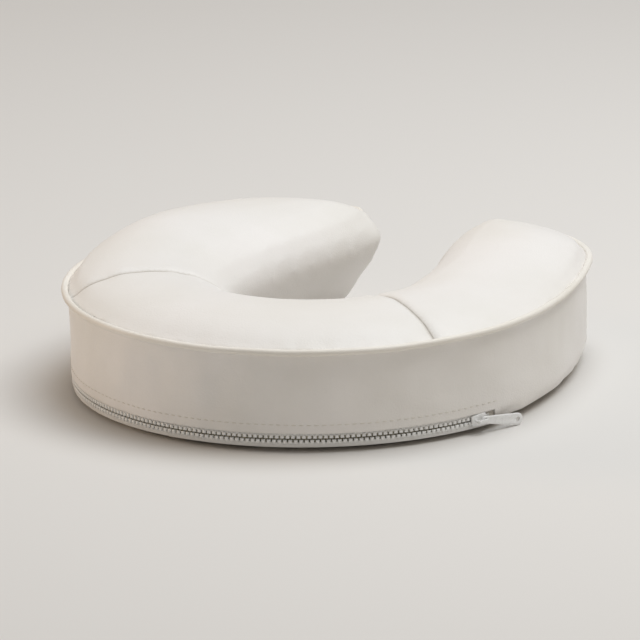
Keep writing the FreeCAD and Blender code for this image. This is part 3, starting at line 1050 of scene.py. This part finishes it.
def loopPad(name, node):
    low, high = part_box(node)
    centre = (low + high) / 2
    size = high - low
    bm = bmesh.new()
    bmesh.ops.create_grid(bm, x_segments=int(size.x / pads["cell"]),
                          y_segments=int(size.y / pads["cell"]), size=0.5)
    corner = pads["corner"]
    for vert in bm.verts:
        x, y = vert.co.x * size.x, vert.co.y * size.y
        overX = max(0.0, abs(x) - (size.x / 2 - corner))
        overY = max(0.0, abs(y) - (size.y / 2 - corner))
        if min(overX, overY) > 0:
            share = max(overX, overY) / math.hypot(overX, overY)
            overX, overY = overX * share, overY * share
            x = math.copysign(size.x / 2 - corner + overX, x)
            y = math.copysign(size.y / 2 - corner + overY, y)
        edge = min(size.x / 2 - abs(x), size.y / 2 - abs(y), corner - math.hypot(overX, overY))
        sink = pads["pile"] + pads["edge"] * math.exp(-(max(edge, 0) / pads["edgeReach"]) ** 2)
        sink += pads["row"] * math.exp(-((edge - stitching["padRow"]) / pads["rowReach"]) ** 2)
        tufts = noise.noise(Vector((x * pads["tuftsPerMetre"], y * pads["tuftsPerMetre"], 1.0)))
        sink += pads["tuft"] * tufts * ease(edge, 0.0, stitching["padRow"])
        vert.co = Vector((centre.x + x, centre.y + y, max(0.0, sink)))
    rim = [edge for edge in bm.edges if edge.is_boundary]
    made = bmesh.ops.extrude_edge_only(bm, edges=rim)["geom"]
    for vert in [item for item in made if isinstance(item, bmesh.types.BMVert)]:
        vert.co.z = size.z - pads["overlap"]
    top = [item for item in made if isinstance(item, bmesh.types.BMEdge) and item.is_boundary]
    bmesh.ops.contextual_create(bm, geom=top)
    bmesh.ops.recalc_face_normals(bm, faces=bm.faces)
    finishPiece(newPiece(name, bm), "cushion", "loop_pile", node)


def padStitches(bm, node):
    low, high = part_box(node)
    inset, depth, ends = stitching["padRow"], stitching["padDepth"], stitching["padEnds"]
    right, back = Vector((1, 0, 0)), Vector((0, 1, 0))
    size = high - low
    rows = ((right, low.y + inset), (right, high.y - inset),
            (back, low.x + inset), (back, high.x - inset))
    for along, across in rows:
        length = size.dot(along) - 2 * ends
        count = int(length / stitching["pitch"])
        for step in range(count + 1):
            travel = ends + length * step / count
            place = (low.x + travel, across, depth) if along.x else (across, low.y + travel, depth)
            stitch(bm, Vector(place), along, -up)


padThread = bmesh.new()
for name, node in (("padFront", "pad_front"), ("padLeft", "pad_left"), ("padRight", "pad_right")):
    loopPad(name, node)
    padStitches(padThread, node)
finishSewing("padStitches", padThread)
print("pads made")

# zip hardware: the frame's own shapes with their edges rounded over
hardware = {
    "sliderEdge": 0.00012,
    "pullEdge": 0.00016,
    "merge": 0.000002,
    "flat": math.radians(4),
    "sharp": math.radians(25),
}


def roundedCopy(name, node, rides, width):
    bm = bmesh.new()
    bm.from_mesh(nodes[node].data)
    bmesh.ops.remove_doubles(bm, verts=bm.verts, dist=hardware["merge"])
    bmesh.ops.dissolve_limit(bm, angle_limit=hardware["flat"], verts=bm.verts, edges=bm.edges)
    bmesh.ops.recalc_face_normals(bm, faces=bm.faces)
    wear = bm.verts.layers.float.new("edgeWear")
    joined = [edge for edge in bm.edges if len(edge.link_faces) == 2]
    sharp = [edge for edge in joined if edge.calc_face_angle() > hardware["sharp"]]
    bevelled = bmesh.ops.bevel(bm, geom=sharp, affect="EDGES", offset=width, segments=2, profile=0.5,
                               clamp_overlap=True, material=-1)
    for vert in bevelled["verts"]:
        vert[wear] = 1.0
    finishPiece(newPiece(name, bm), rides, "zip_metal", node)


def finishNode(node, slot):
    nodes[node].data.materials.clear()
    nodes[node].data.materials.append(materials[slot])


roundedCopy("zipSlider", "zip_slider", "slider", hardware["sliderEdge"])
roundedCopy("zipPull", "zip_pull", "pull", hardware["pullEdge"])
finishNode("zip_tape_upper", "zip_tape")
finishNode("zip_tape_lower", "zip_tape")

# teeth: moulded blocks, wide at the head and narrower on the tape; the rows lie half a pitch apart
teeth = {
    "pitch": 0.0030,
    "radius": 0.1372,
    "firstAngle": math.radians(-84),
    "lastAngle": math.radians(67.5),
    "halfWidth": 0.00122,
    "tip": 0.00040,
    "root": 0.0025,
    "thickness": 0.0020,
    "rootShare": 0.62,  # a tooth's width at its root, as a share of its head's
    "edge": 0.00030,
}


def toothRow(name, node, side):
    bm = bmesh.new()
    pitch = teeth["pitch"] / teeth["radius"]
    angle = teeth["firstAngle"] + (pitch / 2 if side > 0 else 0)
    middle = (teeth["tip"] + teeth["root"]) / 2
    size = (teeth["halfWidth"] * 2, teeth["thickness"], teeth["root"] - teeth["tip"])
    while angle < teeth["lastAngle"]:
        made = bmesh.ops.create_cube(bm, size=1)["verts"]
        bmesh.ops.scale(bm, verts=made, vec=size)
        for vert in made:
            if vert.co.z * side > 0:
                vert.co.x *= teeth["rootShare"]
            vert.co.z += side * middle + plan["chainHeight"]
            vert.co.y += frontY - teeth["radius"]
        edges = list({edge for vert in made for edge in vert.link_edges})
        bevelled = bmesh.ops.bevel(bm, geom=edges, affect="EDGES", offset=teeth["edge"], segments=1,
                                   profile=0.5, clamp_overlap=True, material=-1)["verts"]
        bmesh.ops.rotate(bm, verts=list(set(bevelled)), cent=zipCentre,
                         matrix=Matrix.Rotation(angle, 3, "Z"))
        angle += pitch
    bmesh.ops.recalc_face_normals(bm, faces=bm.faces)
    finishPiece(newPiece(name, bm), "cushion", "zip_plastic", node)


toothRow("zipTeethUpper", "zip_teeth_upper", 1)
toothRow("zipTeethLower", "zip_teeth_lower", -1)
finishNode("zip_top_stops", "zip_plastic")
finishNode("zip_bottom_stop", "zip_plastic")
print("zip finished")

# floor, lights and camera
view = {
    "azimuth": math.radians(26.5),
    "elevation": math.radians(16),
    "roll": math.radians(1.2),
    "distance": 4.7,
    "lens": 470,
    "sensor": 36,
    "farthest": 50,
    "target": Vector((0.0, 0.0, 0.035)),
}
studio = {
    "floor": tone(216, 213, 209),
    "sky": (1.0, 0.945, 0.885),
    "skyStrength": 0.340,
    "floorReach": 5.0,
}
lamps = {
    "overhead": {"place": (0.35, 0.35, 1.6), "aim": (0, 0, 0), "size": 1.4, "power": 21.8,
                 "colour": (0.89, 0.945, 1.0)},
    "rightFill": {"place": (0.95, 0.2, 1.45), "aim": (-0.05, 0.05, 0.03), "size": 0.8, "power": 4.0,
                  "colour": (1.0, 0.95, 0.86)},
    "leftFill": {"place": (-3.2, -0.6, 0.78), "aim": (0, 0, 0.03), "size": 1.3, "power": 26.0,
                 "colour": (1.0, 0.74, 0.51)},
}

floorMesh = bmesh.new()
bmesh.ops.create_grid(floorMesh, x_segments=4, y_segments=4, size=studio["floorReach"])
floor = newPiece("floor", floorMesh, False)
floorLook = Graph("paleFloor")
floor.data.materials.append(floorLook.finish(studio["floor"], 0.9))

world = bpy.data.worlds.new("studio")
bpy.context.scene.world = world
world.use_nodes = True
world.node_tree.nodes["Background"].inputs["Color"].default_value = (*studio["sky"], 1)
world.node_tree.nodes["Background"].inputs["Strength"].default_value = studio["skyStrength"]

for name, setup in lamps.items():
    lamp = bpy.data.lights.new(name, "AREA")
    lamp.shape = "DISK"
    lamp.size = setup["size"]
    lamp.energy = setup["power"]
    lamp.color = setup["colour"]
    holder = bpy.data.objects.new(name, lamp)
    holder.location = setup["place"]
    holder.rotation_mode = "QUATERNION"
    holder.rotation_quaternion = (Vector(setup["aim"]) - Vector(setup["place"])).to_track_quat("-Z", "Y")
    bpy.context.scene.collection.objects.link(holder)

camera = bpy.data.cameras.new("camera")
camera.lens = view["lens"]
camera.sensor_width = view["sensor"]
camera.clip_end = view["farthest"]
cameraHolder = bpy.data.objects.new("camera", camera)
bpy.context.scene.collection.objects.link(cameraHolder)
across, above = view["azimuth"], view["elevation"]
level = math.cos(above)
backward = Vector((math.sin(across) * level, -math.cos(across) * level, math.sin(above)))
cameraHolder.location = view["target"] + backward * view["distance"]
cameraHolder.rotation_mode = "QUATERNION"
aim = (-backward).to_track_quat("-Z", "Y")
cameraHolder.rotation_quaternion = aim @ Matrix.Rotation(-view["roll"], 3, "Z").to_quaternion()
bpy.context.scene.camera = cameraHolder
bpy.context.scene.view_settings.view_transform = "Standard"
